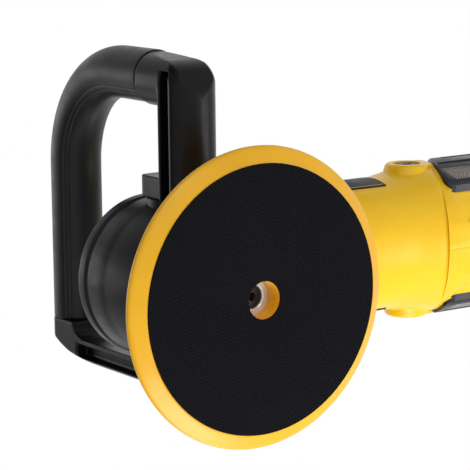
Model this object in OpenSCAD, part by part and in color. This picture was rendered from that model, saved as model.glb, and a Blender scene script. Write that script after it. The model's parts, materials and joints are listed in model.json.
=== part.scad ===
// Rotary polisher with a side D-handle, a barrel rear handle and a hook-faced backing pad.
// Millimetres. Z runs up the spindle from the pad's hook face, X runs back towards the rear handle.

/* [Pad] */
// Radius of the pad at its widest edge
pad_r = 90; // [80:1:100]
// Radius of the flat hook face
hook_r = 80.2; // [70:0.1:90]
// Height of the widest edge above the hook face
pad_edge_z = 6.7; // [5:0.1:8]
// Thickness of the hook sheet
hook_t = 1.2; // [0.8:0.1:2]
// Radius of the hole in the middle of the pad
pad_hole_r = 11.3; // [11.1:0.1:13]

/* [Spindle] */
// Radius of the threaded spindle nose
spindle_r = 7; // [7:0.1:7]
// Height of the spindle's free end above the hook face
spindle_end_z = 12.6; // [12.6:0.1:13.4]

/* [Gear head] */
// Outside radius of the bare gear case
case_r = 46; // [45.8:0.1:46.5]
// Thickness of the rubber boot
boot_t = 4; // [3:0.1:4.2]
// Height of the top of the gear case
case_top_z = 143; // [142:1:145]

/* [Motor] */
// Height of the motor axis above the hook face
motor_z = 108; // [108:1:108]
// Outside radius of the motor housing
motor_r = 43.5; // [43.2:0.1:44]
// Where the motor housing meets the rear handle, along the bottom
seam_x = 190; // [188:1:192]

/* [Rear handle] */
// Where the rear handle ends
handle_end_x = 428; // [424:1:440]
// Width of the grip
grip_w = 56; // [56:1:60]
// Height of the grip
grip_h = 64; // [64:1:66]

/* [D-handle] */
// Height of the middle of the D-handle grip
bail_z = 211; // [208:1:214]
// Radius of the D-handle grip with its rubber
bail_r = 16.5; // [16:0.5:17]
// How far the D-handle reaches to the left, to the middle of its arm
bail_reach = 122; // [120:1:124]

/* [Hidden] */
$fn = 96;
tiny = 0.01;
big = 400;
run_gap = 0.04;

// Pad and insert levels
insert_r = 11;
insert_low_z = 12.5;
insert_top_z = 31;
flange_low_z = 16;
flange_top_z = 19;
flange_r = 17;
pad_rim_top_z = 9.2;
pad_hub_z = 27;

// Spindle levels
shoulder_top_z = 41;
low_bearing_z = 41;
low_bearing_h = 10;
low_bearing_in = 8.5;
low_bearing_out = 17.5;
gear_seat_r = 8;
up_bearing_z = 100;
up_bearing_h = 8;
up_bearing_in = 5;
up_bearing_out = 13;

// Bevel gears
bevel_m = 1.6;
bevel_small_n = 13;
bevel_big_n = 34;
bevel_axis_z = 82;
ring_low_z = 62;
ring_web_z = 68.5;
ring_hub_z = 73;
ring_room_r = 30.6;
bevel_small_r = bevel_m * bevel_small_n / 2;
bevel_big_r = bevel_m * bevel_big_n / 2;
bevel_cone = sqrt(bevel_small_r * bevel_small_r + bevel_big_r * bevel_big_r);
bevel_face = 8;
bevel_taper = (bevel_cone - bevel_face) / bevel_cone;
bevel_small_angle = atan(bevel_small_r / bevel_big_r);
tooth_half = bevel_m * 0.63;
tooth_up = bevel_m * 0.75;
tooth_down = bevel_m * 1.35;
root_slope_big = 0.455;
root_slope_small = 0.315;

// First gear pair
spur_m = 1;
spur_small_n = 12;
spur_big_n = 40;
spur_x = 42;
spur_w = 8;

// Gear case levels
case_low_z = 50;
case_shift_y = 2.5;
chamber_r = 41.5;
chamber_low_z = 60;
chamber_top_z = 120;
nose_bore_r = 31;
neck_r = 34;
lobe_r = 26;
neck_end_x = 60;
flange_x = 54;
case_flange_r = 43.5;
case_screw_ring = 38.6;
side_boss_r = 12;
side_boss_left_y = 49;
side_boss_right_y = 53.6;
side_boss_z = 98;
collar_r = 14.8;
boot_r = case_r + boot_t;
boot_top_z = 129;
boot_groove_z = 118;

// Spindle lock
lock_x = -15.5;
lock_pin_r = 2.3;
lock_pin_z = 71;
lock_button_r = 8;
lock_floor_z = 128;
lock_button_z = 136;
lock_button_h = 12.5;

// Motor
housing_x = 60;
housing_wall = 3.2;
stator_x = 98;
stator_len = 54;
stator_r = 39;
pole_r = 22.6;
arm_r = 21.9;
commutator_x = 185;
commutator_len = 18;
commutator_r = 13;
brush_x = 194;
brush_y = 13.4;
rear_r = 49.5;
flare_x = 166;
flare_end_x = 198;
tower_y = 51.4;
tower_r = 14.5;
seam_slope = 0.45;
sleeve_r = 45.9;
sleeve_x = 180;
web_x = 206;
holder_r = 8;
cap_r = 9;
cap_low_y = 46.6;
front_bearing_x = 53;
front_bearing_w = 8;
front_bearing_in = 6;
front_bearing_out = 14;
rear_bearing_x = 211;
rear_bearing_w = 7;
rear_bearing_in = 4;
rear_bearing_out = 11;
fan_x = 68;
fan_r = 34;
baffle_x = 84;

// Rear handle
shell_r = 49.5;
shell_wall = 3;
shell_cone_x = 262;
grip_x = 302;
grip_z = 104;
grip_corner = 26;
end_flange_x = 412;
cone_end_r = 31.5;
shield_out = 51.9;
shield_in = 47.9;
trigger_x = 308;
trigger_z = 80;
trigger_len = 62;
trigger_w = 19;
trigger_pin_r = 2;
plunger_x = 350;
plunger_r = 3;
button_x = 336;
button_z = 100;
button_r = 5;
dial_x = 312;
dial_z = 127;
dial_r = 12;
dial_w = 6;
inlet_r = 4.2;
inlet_out_r = 9;
shell_screw_places = [[270, 74], [270, 138], [394, 86], [394, 122]];

// D-handle
bail_bend = 64;
bail_core_r = 13;
bail_grip_end_y = 44;
bail_bar_half = 16.5;
bail_arm_half = 16;
bail_corner_z = 112;
bail_bar_low_z = 63;
bail_bar_top_z = 87;
bail_arm_in_y = 54;
bail_arm_out_y = 69.5;
bail_end_r = 16.8;
bail_foot_y = 49;
bail_foot_out_y = 63;
bolt_r = 4;
bolt_head_r = 6.5;
washer_t = 1.6;
bail_seat_left = 54;
bail_seat_right = 61;

hook_face();
pad_plate();
pad_insert();
spindle();
spindle_low_bearing();
spindle_top_bearing();
ring_gear();
nose_cover();
nose_screws();
gear_case();
gear_case_boot();
bevel_pinion();
pinion_shaft();
idler_gear();
pinion_front_bearing();
pinion_rear_bearing();
gear_plate();
gear_case_screws();
lock_button();
lock_spring();
armature_shaft();
armature_core();
armature_windings();
commutator();
fan();
fan_baffle();
armature_front_bearing();
armature_rear_bearing();
stator_core();
field_coils();
motor_housing();
brush_holders();
carbon_brushes();
brush_springs();
brush_caps();
name_plates();
handle_shell_left();
handle_shell_right();
shell_screws();
wool_shields();
wool_meshes();
handle_overmould();
trigger();
trigger_pin();
switch_body();
switch_plunger();
lock_on_button();
speed_dial();
circuit_board();
cord_inlet();
bail_frame();
bail_grip();
bail_bolts();
bail_washers();

// ---------- shared shapes ----------

// Cylinder along X from one place to another, on an axis at height z.
module rod_x(x0, x1, r, z) {
    translate([x0, 0, z])
        rotate([0, 90, 0])
            cylinder(r = r, h = x1 - x0);
}

// Cylinder along Y from one place to another.
module rod_y(x, y0, y1, r, z) {
    translate([x, y0, z])
        rotate([-90, 0, 0])
            cylinder(r = r, h = y1 - y0);
}

// Cone along X.
module cone_x(x0, x1, r0, r1, z) {
    translate([x0, 0, z])
        rotate([0, 90, 0])
            cylinder(r1 = r0, r2 = r1, h = x1 - x0);
}

// Plain ring along X.
module ring_x(x0, x1, r_out, r_in, z) {
    difference() {
        rod_x(x0, x1, r_out, z);
        rod_x(x0 - 1, x1 + 1, r_in, z);
    }
}

// Box given by its two opposite corners.
module box(low, high) {
    translate(low)
        cube(high - low);
}

// Rectangle with round corners, centred.
module round_rect(w, h, r) {
    square([w - 2 * r, h], center = true);
    square([w, h - 2 * r], center = true);
    for (sx = [-1, 1], sy = [-1, 1])
        translate([sx * (w / 2 - r), sy * (h / 2 - r)])
            circle(r = r);
}

// A round-cornered section swept along X, wide in Y and tall in Z.
module bar_x(x0, x1, w, h, r, z) {
    translate([x0, 0, z])
        rotate([90, 0, 90])
            linear_extrude(height = x1 - x0)
                round_rect(w, h, r);
}

// A ball bearing along X with seal grooves in both faces.
module bearing_x(x0, w, r_in, r_out, z) {
    mid = (r_in + r_out) / 2;
    difference() {
        rod_x(x0, x0 + w, r_out, z);
        rod_x(x0 - 1, x0 + w + 1, r_in + run_gap, z);
        ring_x(x0 - 1, x0 + 0.5, mid + 1.4, mid - 1.4, z);
        ring_x(x0 + w - 0.5, x0 + w + 1, mid + 1.4, mid - 1.4, z);
    }
}

// The same bearing standing on the spindle.
module bearing_z(z0, h, r_in, r_out) {
    mid = (r_in + r_out) / 2;
    difference() {
        translate([0, 0, z0])
            cylinder(r = r_out, h = h);
        translate([0, 0, z0 - 1])
            cylinder(r = r_in + run_gap, h = h + 2);
        for (z = [z0 - 1, z0 + h - 0.5])
            translate([0, 0, z])
                difference() {
                    cylinder(r = mid + 1.5, h = 1.5);
                    cylinder(r = mid - 1.5, h = 1.5);
                }
    }
}

// One point on an involute that unwinds from a circle of radius rb, at radius r.
function inv_angle(rb, r) = tan(acos(rb / r)) * 180 / PI - acos(rb / r);
function polar(r, a) = [r * cos(a), r * sin(a)];

// One side of a tooth, from the root to the tip, at n steps.
function flank(rb, r0, r1, half, n, side) = [for (i = [0:n])
    let (r = r0 + (r1 - r0) * i / n)
    polar(r, side * (half - inv_angle(rb, max(r, rb))))];

// Outline of a spur gear with thinned teeth, so that a pair keeps a little play.
module spur_outline(m, teeth, root_cut, tip_add, play) {
    rp = m * teeth / 2;
    rb = rp * cos(20);
    root = rp - root_cut * m;
    tip = rp + tip_add * m;
    half = 90 / teeth - play / rp * 180 / PI + inv_angle(rb, rp);
    circle(r = root + tiny);
    for (i = [0:teeth - 1])
        rotate(i * 360 / teeth)
            polygon(concat(
                [[root * 0.9, -root * 0.5 * sin(180 / teeth)]],
                flank(rb, root, tip, half, 5, -1),
                [for (k = [5:-1:0]) flank(rb, root, tip, half, 5, 1)[k]],
                [[root * 0.9, root * 0.5 * sin(180 / teeth)]]));
}

// One tapering bevel tooth whose sides all run to the point where the two axes meet.
module bevel_tooth(pitch_r, angle) {
    rotate([0, -angle, 0])
        translate([0, 0, -bevel_cone])
            linear_extrude(height = bevel_face, scale = bevel_taper)
                polygon([[tooth_up, tooth_half - tooth_up * tan(20)], [-tooth_down, tooth_half + tooth_down * tan(20)],
                    [-tooth_down, -tooth_half - tooth_down * tan(20)], [tooth_up, -tooth_half + tooth_up * tan(20)]]);
}

// ---------- pad and spindle ----------

module hook_face() {
    color([0.09, 0.09, 0.1])
        difference() {
            cylinder(r = hook_r, h = hook_t);
            translate([0, 0, -1])
                cylinder(r = pad_hole_r, h = hook_t + 2);
        }
}

module pad_plate() {
    color([0.93, 0.7, 0.1])
        rotate_extrude()
            polygon([[pad_hole_r, hook_t], [hook_r + 0.3, hook_t], [pad_r, pad_edge_z],
                [pad_r, pad_rim_top_z], [pad_r - 3, pad_rim_top_z + 1.6], [46, 16], [28, 21],
                [23, pad_hub_z], [insert_r, pad_hub_z], [insert_r, flange_top_z], [flange_r, flange_top_z],
                [flange_r, flange_low_z], [insert_r, flange_low_z], [insert_r, insert_low_z],
                [pad_hole_r, insert_low_z]]);
}

module pad_insert() {
    color([0.72, 0.72, 0.74])
        rotate_extrude()
            polygon([[spindle_r, insert_low_z + 0.8], [spindle_r + 0.8, insert_low_z], [insert_r, insert_low_z],
                [insert_r, flange_low_z], [flange_r, flange_low_z], [flange_r, flange_top_z],
                [insert_r, flange_top_z], [insert_r, insert_top_z], [spindle_r, insert_top_z]]);
}

module spindle() {
    color([0.45, 0.45, 0.47])
        difference() {
            rotate_extrude()
                polygon([[0, spindle_end_z], [spindle_r - 1.2, spindle_end_z], [spindle_r, spindle_end_z + 1.2],
                    [spindle_r, insert_top_z], [11.5, insert_top_z], [11.5, shoulder_top_z],
                    [low_bearing_in, shoulder_top_z], [low_bearing_in, 54], [gear_seat_r, 54],
                    [gear_seat_r, ring_hub_z], [6.5, ring_hub_z], [6.5, up_bearing_z], [up_bearing_in, up_bearing_z],
                    [up_bearing_in, up_bearing_z + up_bearing_h], [0, up_bearing_z + up_bearing_h]]);
            translate([0, 0, spindle_end_z - tiny])
                cylinder(r1 = 2.6, r2 = 0.6, h = 3);
            for (side = [-1, 1])
                translate([side * 13.5 - 5, -15, insert_top_z - tiny])
                    cube([10, 30, 7]);
        }
}

module spindle_low_bearing() {
    color([0.78, 0.78, 0.8])
        bearing_z(low_bearing_z, low_bearing_h, low_bearing_in, low_bearing_out);
}

module spindle_top_bearing() {
    color([0.78, 0.78, 0.8])
        bearing_z(up_bearing_z, up_bearing_h, up_bearing_in, up_bearing_out);
}

// The large bevel gear on the spindle, with four holes for the lock pin.
module ring_gear() {
    color([0.5, 0.5, 0.52])
        difference() {
            union() {
                rotate_extrude()
                    polygon([[gear_seat_r, ring_low_z], [29.4, ring_low_z],
                        [29.4, bevel_axis_z - root_slope_big * 29.4], [19.4, bevel_axis_z - root_slope_big * 19.4],
                        [19.4, ring_web_z], [12, ring_web_z], [12, ring_hub_z], [gear_seat_r, ring_hub_z]]);
                for (i = [0:bevel_big_n - 1])
                    rotate([0, 0, (i + 0.5) * 360 / bevel_big_n])
                        translate([0, 0, bevel_axis_z])
                            bevel_tooth(bevel_big_r, 90 - bevel_small_angle);
            }
            for (a = [0:90:270])
                rotate([0, 0, a])
                    translate([lock_x, 0, ring_low_z - 1])
                        cylinder(r = lock_pin_r + 0.5, h = 9, $fn = 32);
            translate([0, 0, 55])
                cylinder(r = gear_seat_r, h = 25);
        }
}

module nose_cover() {
    color([0.62, 0.63, 0.65])
        difference() {
            union() {
                translate([0, 0, 45])
                    cylinder(r = 42, h = case_low_z - 45);
                translate([0, 0, 39])
                    cylinder(r = 24, h = 7);
                translate([0, 0, 45])
                    cylinder(r = nose_bore_r, h = 11);
            }
            translate([0, 0, 30])
                cylinder(r = 12.5, h = 30);
            translate([0, 0, low_bearing_z])
                cylinder(r = low_bearing_out, h = 20);
            for (a = [45:90:315])
                rotate([0, 0, a])
                    translate([36.5, 0, 40])
                        cylinder(r = 2, h = 12, $fn = 32);
        }
}

module nose_screws() {
    color([0.3, 0.3, 0.32])
        for (a = [45:90:315])
            rotate([0, 0, a])
                translate([36.5, 0, 0]) {
                    translate([0, 0, case_low_z - 5])
                        cylinder(r = 2, h = 15, $fn = 32);
                    translate([0, 0, case_low_z - 8])
                        difference() {
                            cylinder(r = 3.8, h = 3, $fn = 32);
                            translate([0, 0, -1])
                                cylinder(r = 1.8, h = 2.6, $fn = 6);
                        }
                }
}

// ---------- gear head ----------

// Outside of the rear neck: a round end for the motor with a lobe for the lower shaft.
module neck_solid(x0, x1, r, lobe) {
    rod_x(x0, x1, r, motor_z);
    rod_x(x0, x1, lobe, bevel_axis_z);
}

module gear_case() {
    color([0.66, 0.67, 0.69])
        difference() {
            union() {
                translate([0, case_shift_y, 0])
                    rotate_extrude()
                        polygon([[0, case_low_z], [case_r, case_low_z], [case_r, 126], [43.5, 131], [38, 137],
                            [31, 141], [27, case_top_z], [0, case_top_z]]);
                neck_solid(20, neck_end_x, neck_r, lobe_r);
                rod_x(flange_x, neck_end_x, case_flange_r, motor_z);
                rod_y(0, -side_boss_left_y, side_boss_right_y, side_boss_r, side_boss_z);
            }
            // gear chamber, leaving bosses for the upper bearing, the lock pin and the lower shaft
            difference() {
                translate([0, case_shift_y, 0])
                    rotate_extrude()
                        polygon([[0, chamber_low_z], [chamber_r, chamber_low_z], [chamber_r, chamber_top_z],
                            [31, 134], [0, 134]]);
                translate([0, 0, up_bearing_z - 3])
                    cylinder(r = 18, h = 60);
                translate([lock_x, 0, 112])
                    cylinder(r = 11, h = 40);
                difference() {
                    rod_x(29, 45, 17, bevel_axis_z);
                    cylinder(r = ring_room_r, h = 78);
                }
                for (side = [-1, 1])
                    rod_y(0, side == 1 ? 31 : -60, side == 1 ? 60 : -31, 9, side_boss_z);
            }
            translate([0, 0, case_low_z - 1])
                cylinder(r = nose_bore_r, h = 14);
            translate([0, 0, up_bearing_z - 4])
                cylinder(r = up_bearing_out, h = up_bearing_h + 4);
            // bearing seat and passage for the lower shaft
            rod_x(22, 45, 10, bevel_axis_z);
            rod_x(31, 42, 13, bevel_axis_z);
            // gear space in the neck
            neck_solid(40, neck_end_x + 1, neck_r - 4, lobe_r - 3.6);
            // lock button recess and pin guide
            translate([lock_x, 0, lock_floor_z])
                cylinder(r = lock_button_r + run_gap, h = 30);
            translate([lock_x, 0, 90])
                cylinder(r = lock_pin_r + run_gap, h = 50, $fn = 48);
            // threaded side holes
            for (side = [-1, 1])
                rod_y(0, side == 1 ? 28 : -60, side == 1 ? 60 : -28, bolt_r, side_boss_z);
            for (a = [45:90:315])
                rotate([0, 0, a])
                    translate([36.5, 0, case_low_z - 1])
                        cylinder(r = 2, h = 11.1, $fn = 32);
            for (a = [40, 140, 220, 320])
                translate([flange_x - 10, case_screw_ring * cos(a), motor_z + case_screw_ring * sin(a)])
                    rotate([0, 90, 0]) {
                        cylinder(r = 2.5, h = 20, $fn = 32);
                        cylinder(r = 4.4, h = 10, $fn = 32);
                    }
        }
}

module gear_case_boot() {
    color([0.06, 0.06, 0.07])
        difference() {
            union() {
                translate([0, case_shift_y, 0])
                    rotate_extrude()
                        polygon([[case_r, 53], [boot_r - 2.8, 53], [boot_r - 1.6, 55.5], [boot_r - 1.6, 97],
                            [boot_r - 0.5, 104], [boot_r - 0.4, boot_groove_z - 0.8], [boot_r - 1, boot_groove_z],
                            [boot_r + 0.5, boot_groove_z + 1.8], [boot_r + 0.5, boot_top_z - 3],
                            [boot_r - 0.8, boot_top_z - 1], [boot_r - 3, boot_top_z], [44.8, boot_top_z],
                            [case_r, 126]]);
                // collars round the two side bosses
                difference() {
                    rod_y(0, 0.1 - side_boss_left_y, side_boss_right_y - 0.1, collar_r, side_boss_z);
                    translate([0, case_shift_y, 0])
                        cylinder(r = case_r, h = 200);
                }
            }
            neck_solid(0, 80, neck_r + 0.2, lobe_r + 0.2);
            rod_y(0, -80, 80, side_boss_r + 0.2, side_boss_z);
            box([30, -50, 40], [80, 50, 150]);
        }
}

module bevel_pinion() {
    color([0.5, 0.5, 0.52])
        difference() {
            union() {
                cone_x(19, 28.4, 19 * root_slope_small, 28.4 * root_slope_small, bevel_axis_z);
                rod_x(28.2, 30.6, 8.6, bevel_axis_z);
                translate([0, 0, bevel_axis_z])
                    rotate([0, 90, 0])
                        for (i = [0:bevel_small_n - 1])
                            rotate([0, 0, i * 360 / bevel_small_n])
                                mirror([0, 0, 1])
                                    bevel_tooth(bevel_small_r, bevel_small_angle);
            }
            rod_x(10, 40, 4, bevel_axis_z);
        }
}

module pinion_shaft() {
    color([0.6, 0.6, 0.62])
        union() {
            rod_x(18, 30.6, 4, bevel_axis_z);
            rod_x(30.6, 40, 5, bevel_axis_z);
            rod_x(40, 41.6, 6.5, bevel_axis_z);
            rod_x(41.6, 51, 5, bevel_axis_z);
            rod_x(51, 58.5, 3.5, bevel_axis_z);
        }
}

module idler_gear() {
    color([0.5, 0.5, 0.52])
        translate([spur_x, 0, bevel_axis_z])
            rotate([0, 90, 0])
                difference() {
                    linear_extrude(height = spur_w)
                        rotate(4.5)
                            spur_outline(spur_m, spur_big_n, 1.25, 0.85, 0.05);
                    translate([0, 0, -1])
                        cylinder(r = 5, h = spur_w + 2);
                    for (z = [-1, spur_w - 2])
                        translate([0, 0, z])
                            difference() {
                                cylinder(r = 16, h = 3);
                                cylinder(r = 9, h = 3);
                            }
                }
}

module pinion_front_bearing() {
    color([0.78, 0.78, 0.8])
        bearing_x(31, 8, 5, 13, bevel_axis_z);
}

module pinion_rear_bearing() {
    color([0.78, 0.78, 0.8])
        bearing_x(52, 6, 3.5, 9.5, bevel_axis_z);
}

// The plate behind the gears. It carries one bearing of each shaft.
module gear_plate() {
    color([0.62, 0.63, 0.65])
        difference() {
            neck_solid(51.5, neck_end_x, neck_r - 4, lobe_r - 3.6);
            rod_x(50, 70, 9, motor_z);
            rod_x(front_bearing_x, 70, front_bearing_out, motor_z);
            rod_x(50, 58, 9.5, bevel_axis_z);
            rod_x(50, 59, 4.5, bevel_axis_z);
        }
}

module gear_case_screws() {
    color([0.3, 0.3, 0.32])
        for (a = [40, 140, 220, 320])
            translate([0, case_screw_ring * cos(a), motor_z + case_screw_ring * sin(a)])
                rotate([0, 90, 0]) {
                    translate([0, 0, flange_x])
                        cylinder(r = 2.5, h = 20, $fn = 32);
                    translate([0, 0, flange_x - 4.5])
                        difference() {
                            cylinder(r = 4.2, h = 4.5, $fn = 32);
                            translate([0, 0, -1])
                                cylinder(r = 2.1, h = 3.4, $fn = 6);
                        }
                }
}

module lock_button() {
    color([0.75, 0.06, 0.05])
        union() {
            translate([lock_x, 0, lock_button_z])
                cylinder(r = lock_button_r, h = lock_button_h - 1.5);
            translate([lock_x, 0, lock_button_z + lock_button_h - 1.5])
                cylinder(r1 = lock_button_r, r2 = lock_button_r - 1.5, h = 1.5);
            translate([lock_x, 0, lock_pin_z])
                cylinder(r = lock_pin_r, h = lock_button_z - lock_pin_z + 1, $fn = 48);
        }
}

module lock_spring() {
    color([0.7, 0.7, 0.72])
        for (i = [0:3])
            translate([lock_x, 0, lock_floor_z + 0.7 + i * 2.2])
                rotate_extrude($fn = 48)
                    translate([5, 0])
                        circle(r = 0.6, $fn = 16);
}

// ---------- motor ----------

module armature_shaft() {
    color([0.6, 0.6, 0.62])
        union() {
            translate([spur_x - 0.5, 0, motor_z])
                rotate([0, 90, 0])
                    linear_extrude(height = spur_w + 1.5)
                        spur_outline(spur_m, spur_small_n, 1.1, 0.95, 0.05);
            rod_x(spur_x + spur_w + 0.5, 61, front_bearing_in, motor_z);
            rod_x(61, stator_x, 7, motor_z);
            rod_x(stator_x, commutator_x - 3, 6, motor_z);
            rod_x(commutator_x - 3, rear_bearing_x, 5, motor_z);
            rod_x(rear_bearing_x, rear_bearing_x + 8, rear_bearing_in, motor_z);
        }
}

module armature_core() {
    color([0.42, 0.42, 0.44])
        translate([stator_x + 2, 0, motor_z])
            rotate([0, 90, 0])
                linear_extrude(height = stator_len - 4)
                    difference() {
                        circle(r = arm_r);
                        circle(r = 6);
                        for (i = [0:11])
                            rotate(i * 30) {
                                translate([11.5, -2])
                                    square([8, 4]);
                                translate([19, -0.9])
                                    square([5, 1.8]);
                            }
                    }
}

module armature_windings() {
    color([0.62, 0.3, 0.12])
        union() {
            // bundles lying in the slots of the core
            translate([stator_x + 1, 0, motor_z])
                rotate([0, 90, 0])
                    for (i = [0:11])
                        rotate(i * 30)
                            translate([11.8, -1.8, 0])
                                cube([7.4, 3.6, stator_len - 2]);
            // end turns in front and behind
            translate([stator_x - 8, 0, motor_z])
                rotate([0, 90, 0])
                    rotate_extrude()
                        polygon([[8, 0], [16, 0], [19.5, 3], [19.5, 10], [8, 10]]);
            translate([stator_x + stator_len - 2, 0, motor_z])
                rotate([0, 90, 0])
                    rotate_extrude()
                        polygon([[8, 0], [19.5, 0], [19.5, 8], [14, 14], [8, 18]]);
        }
}

module commutator() {
    color([0.72, 0.42, 0.2])
        translate([commutator_x, 0, motor_z])
            rotate([0, 90, 0])
                linear_extrude(height = commutator_len)
                    difference() {
                        circle(r = commutator_r);
                        circle(r = 5);
                        for (i = [0:23])
                            rotate(i * 15)
                                translate([commutator_r - 1.4, -0.3])
                                    square([3, 0.6]);
                    }
}

// Fan behind the front bearing, a disc with straight blades.
module fan() {
    color([0.2, 0.2, 0.22])
        difference() {
            union() {
                rod_x(fan_x, fan_x + 2, fan_r, motor_z);
                rod_x(fan_x, fan_x + 13, 11, motor_z);
                for (i = [0:13])
                    translate([fan_x + 1, 0, motor_z])
                        rotate([i * 360 / 14, 0, 0])
                            translate([0, 16, -0.8])
                                cube([12, fan_r - 16.3, 1.6]);
            }
            rod_x(fan_x - 1, fan_x + 20, 7, motor_z);
        }
}

module fan_baffle() {
    color([0.15, 0.15, 0.16])
        difference() {
            union() {
                rod_x(baffle_x, baffle_x + 2.4, motor_r - housing_wall, motor_z);
                rod_x(baffle_x, baffle_x + 7, motor_r - housing_wall, motor_z);
            }
            rod_x(baffle_x + 2.4, baffle_x + 9, motor_r - housing_wall - 2, motor_z);
            rod_x(baffle_x - 1, baffle_x + 9, 26, motor_z);
        }
}

module armature_front_bearing() {
    color([0.78, 0.78, 0.8])
        bearing_x(front_bearing_x, front_bearing_w, front_bearing_in, front_bearing_out, motor_z);
}

module armature_rear_bearing() {
    color([0.78, 0.78, 0.8])
        bearing_x(rear_bearing_x, rear_bearing_w, rear_bearing_in, rear_bearing_out, motor_z);
}

// Stack of stator plates with two poles, one above and one below the armature.
module stator_core() {
    color([0.4, 0.4, 0.42])
        translate([stator_x, 0, motor_z])
            rotate([90, 0, 90])
                linear_extrude(height = stator_len)
                    difference() {
                        circle(r = stator_r);
                        circle(r = pole_r);
                        for (side = [-1, 1])
                            scale([1, 1])
                                intersection() {
                                    difference() {
                                        circle(r = 33);
                                        circle(r = 10);
                                    }
                                    translate([side * 30, 0])
                                        square([44, 36], center = true);
                                }
                    }
}

module field_coils() {
    color([0.65, 0.33, 0.12])
        for (side = [-1, 1])
            translate([stator_x - 7, 0, motor_z])
                rotate([90, 0, 90])
                    linear_extrude(height = stator_len + 14)
                        intersection() {
                            difference() {
                                circle(r = 32.6);
                                circle(r = 24);
                            }
                            translate([side * 30, 0])
                                square([43, 35], center = true);
                        }
}

// A solid of revolution round the motor axis, from points of distance along X and radius.
module turned_x(points) {
    translate([0, 0, motor_z])
        rotate([0, 90, 0])
            rotate_extrude()
                polygon([for (p = points) [p[1], p[0]]]);
}

// Where the sloping joint between motor housing and rear handle lies at height z.
function seam_at(z) = seam_x + seam_slope * (z - motor_z + rear_r);

// Everything in front of the sloping joint.
module front_of_seam() {
    translate([0, 90, 0])
        rotate([90, 0, 0])
            linear_extrude(height = 180)
                polygon([[0, 0], [seam_at(0), 0], [seam_at(220), 220], [0, 220]]);
}

// The two round towers over the brushes, with a ridge that runs back to the joint.
module brush_towers() {
    for (side = [0, 180])
        translate([brush_x, 0, motor_z])
            rotate([0, 0, side])
                rotate([-90, 0, 0]) {
                    translate([0, 0, 36])
                        cylinder(r1 = tower_r + 4, r2 = tower_r, h = tower_y - 37.5);
                    translate([0, 0, tower_y - 1.5])
                        cylinder(r1 = tower_r, r2 = tower_r - 1.5, h = 1.5);
                }
    box([brush_x, -tower_y + 0.8, motor_z - 11], [brush_x + 20, tower_y - 0.8, motor_z + 11]);
}

module motor_housing() {
    inner = motor_r - housing_wall;
    rear_in = sleeve_r - 2.9;
    color([0.98, 0.79, 0.1])
        difference() {
            union() {
                intersection() {
                    union() {
                        turned_x([[housing_x, 0], [housing_x, motor_r], [flare_x, motor_r],
                            [flare_end_x, rear_r], [250, rear_r], [250, 0]]);
                        brush_towers();
                    }
                    front_of_seam();
                }
                turned_x([[sleeve_x, 0], [sleeve_x, sleeve_r], [web_x + 5, sleeve_r], [web_x + 5, 14],
                    [rear_bearing_x + rear_bearing_w, 14], [rear_bearing_x + rear_bearing_w, 0]]);
            }
            // room for the stator, with a stop behind it, and for the brush gear
            turned_x([[housing_x + 5, 0], [housing_x + 5, inner], [stator_x + stator_len, inner],
                [stator_x + stator_len, 37], [stator_x + stator_len + 4, 37], [stator_x + stator_len + 4, inner],
                [flare_x, inner], [sleeve_x, rear_in], [web_x, rear_in], [web_x, 0]]);
            turned_x([[housing_x - 1, 0], [housing_x - 1, neck_r - 4], [housing_x + 6, neck_r - 4],
                [housing_x + 6, 0]]);
            turned_x([[web_x - 1, 0], [web_x - 1, 6], [rear_bearing_x, 6], [rear_bearing_x, rear_bearing_out],
                [235, rear_bearing_out], [235, 0]]);
            turned_x([[web_x + 5, 14], [web_x + 5, sleeve_r - 0.1], [270, sleeve_r - 0.1], [270, 14]]);
            // air windows between the ribs that carry the rear bearing
            for (a = [22.5:45:360])
                translate([web_x - 2, 0, motor_z])
                    rotate([a, 0, 0])
                        translate([0, 18, -5.5])
                            cube([12, 20, 11]);
            for (a = [40, 140, 220, 320])
                translate([housing_x - 1, case_screw_ring * cos(a), motor_z + case_screw_ring * sin(a)])
                    rotate([0, 90, 0])
                        cylinder(r = 2.5, h = 15.1, $fn = 32);
            for (side = [0, 180])
                translate([brush_x, 0, motor_z])
                    rotate([0, 0, side])
                        rotate([-90, 0, 0]) {
                            translate([0, 0, 30])
                                cylinder(r = holder_r, h = 30);
                            translate([0, 0, cap_low_y])
                                cylinder(r = cap_r + 0.4, h = 20);
                        }
            // exhaust slots round the front end
            for (a = [-28:14:28])
                for (side = [0, 180])
                    translate([fan_x, 0, motor_z])
                        rotate([a + side, 0, 0])
                            translate([0, 30, -1.4])
                                cube([11, 20, 2.8]);
        }
}

module brush_holders() {
    color([0.75, 0.58, 0.25])
        for (side = [0, 180])
            translate([brush_x, 0, motor_z])
                rotate([0, 0, side])
                    difference() {
                        rotate([-90, 0, 0])
                            translate([0, 0, 18])
                                cylinder(r = holder_r, h = cap_low_y - 18);
                        translate([-3.2, 10, -5])
                            cube([6.4, 40, 10]);
                    }
}

module carbon_brushes() {
    color([0.16, 0.16, 0.17])
        for (side = [0, 180])
            translate([brush_x, 0, motor_z])
                rotate([0, 0, side])
                    translate([-3.1, brush_y, -4.9])
                        cube([6.2, 19, 9.8]);
}

module brush_springs() {
    color([0.7, 0.7, 0.72])
        for (side = [0, 180])
            translate([brush_x, 0, motor_z])
                rotate([0, 0, side])
                    for (i = [0:4])
                        translate([0, brush_y + 19.5 + i * 2.3, 0])
                            rotate([-90, 0, 0])
                                rotate_extrude($fn = 32)
                                    translate([2.4, 0])
                                        circle(r = 0.45, $fn = 16);
}

module brush_caps() {
    color([0.12, 0.12, 0.13])
        for (side = [0, 180])
            translate([brush_x, 0, motor_z])
                rotate([0, 0, side])
                    difference() {
                        rotate([-90, 0, 0])
                            translate([0, 0, cap_low_y])
                                cylinder(r = cap_r, h = 4);
                        rotate([0, 20, 0])
                            translate([-10, cap_low_y + 2.4, -0.9])
                                cube([20, 5, 1.8]);
                    }
}

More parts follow.
